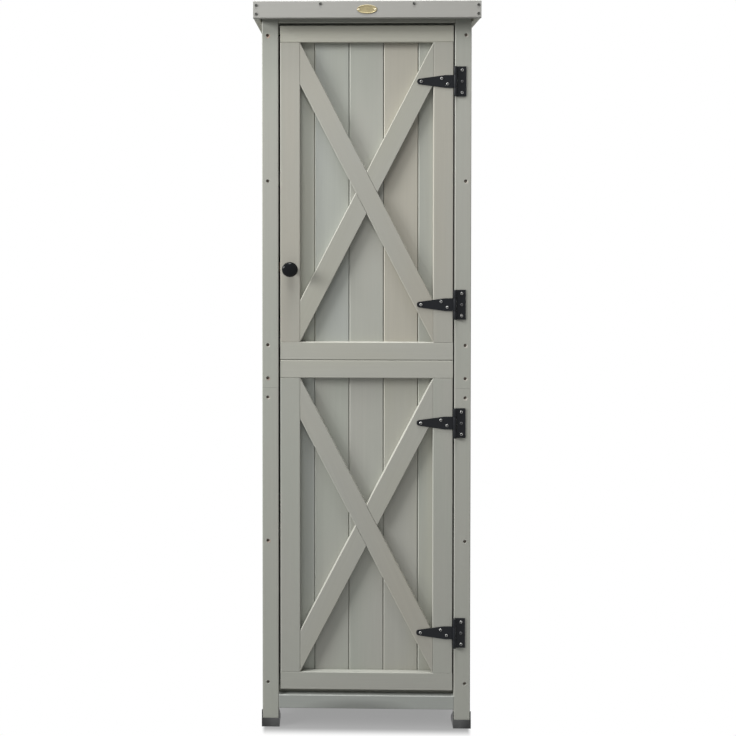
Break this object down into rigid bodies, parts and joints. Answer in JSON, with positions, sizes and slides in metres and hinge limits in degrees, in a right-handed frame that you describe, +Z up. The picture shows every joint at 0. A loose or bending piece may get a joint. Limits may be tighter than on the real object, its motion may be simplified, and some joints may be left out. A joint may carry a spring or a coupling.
{
  "type": "garden storage cabinet",
  "caption": "Tall narrow painted wood garden cabinet with one full-height braced door on black strap hinges, a lean-to roof with fascia, shelves inside and black foot caps.",
  "frame": {"origin": "on the ground below the middle of the roof's outline", "axes": "+X to the right of the front, -Y out of the front, +Z up"},
  "size_m": [0.5616, 0.4286, 1.8112],
  "materials": {
    "hinge_steel": "black powder coat, satin",
    "pin_steel": "bright steel",
    "screw_zinc": "zinc plated",
    "plate_zinc": "zinc plated, dull",
    "painted_wood": "grey-green woodstain, matt, grain showing",
    "inner_wood": "grey-green woodstain, matt, grain showing",
    "felt": "mineral bitumen roofing felt",
    "oval_brass": "satin, bare",
    "cap_plastic": "black, glossy",
    "knob_black": "black, satin",
    "catch_plastic": "brown plastic"
  },
  "bodies": {
    "cabinet": {"back_planks": "painted_wood", "back_posts": "painted_wood", "back_rails": "painted_wood", "battens": "inner_wood", "carcass_joining_plates": "plate_zinc", "carcass_screws": "screw_zinc", "floor_boards": "inner_wood", "foot_caps_back": "cap_plastic", "foot_caps_front": "cap_plastic", "front_post_lower_left": "painted_wood", "front_post_lower_right": "painted_wood", "front_post_upper_left": "painted_wood", "front_post_upper_right": "painted_wood", "head_rail": "painted_wood", "head_stop": "inner_wood", "hinge_pins": "pin_steel", "hinge_plate_1": "hinge_steel", "hinge_plate_2": "hinge_steel", "hinge_plate_3": "hinge_steel", "hinge_plate_4": "hinge_steel", "magnetic_catch": "catch_plastic", "oval_plate": "oval_brass", "roof_back_board": "painted_wood", "roof_boards": "inner_wood", "roof_fascia": "painted_wood", "roof_felt": "felt", "roof_side_boards": "painted_wood", "shelf_high": "inner_wood", "shelf_low": "inner_wood", "shelf_middle": "inner_wood", "side_frame_lower_left": "painted_wood", "side_frame_lower_right": "painted_wood", "side_frame_upper_left": "painted_wood", "side_frame_upper_right": "painted_wood", "side_planks_left": "painted_wood", "side_planks_right": "painted_wood", "sill": "painted_wood"},
    "door": {"brace_lower_long": "painted_wood", "brace_lower_short": "painted_wood", "brace_upper_long": "painted_wood", "brace_upper_short": "painted_wood", "door_joining_plates": "plate_zinc", "door_planks_lower": "painted_wood", "door_planks_upper": "painted_wood", "door_rail_bottom": "painted_wood", "door_rail_lower_seam": "painted_wood", "door_rail_top": "painted_wood", "door_rail_upper_seam": "painted_wood", "door_screws": "screw_zinc", "door_stile_lower_hinge": "painted_wood", "door_stile_lower_latch": "painted_wood", "door_stile_upper_hinge": "painted_wood", "door_stile_upper_latch": "painted_wood", "hinge_strap_1": "hinge_steel", "hinge_strap_2": "hinge_steel", "hinge_strap_3": "hinge_steel", "hinge_strap_4": "hinge_steel", "knob": "knob_black", "strike_plate": "plate_zinc"}
  },
  "joints": [
    {"name": "door_hinge", "type": "hinge", "parent": "cabinet", "child": "door", "pos_m": [0.2196, -0.182, 0.9], "axis": [0, 0, 1], "range_deg": [0, 170]}
  ]
}
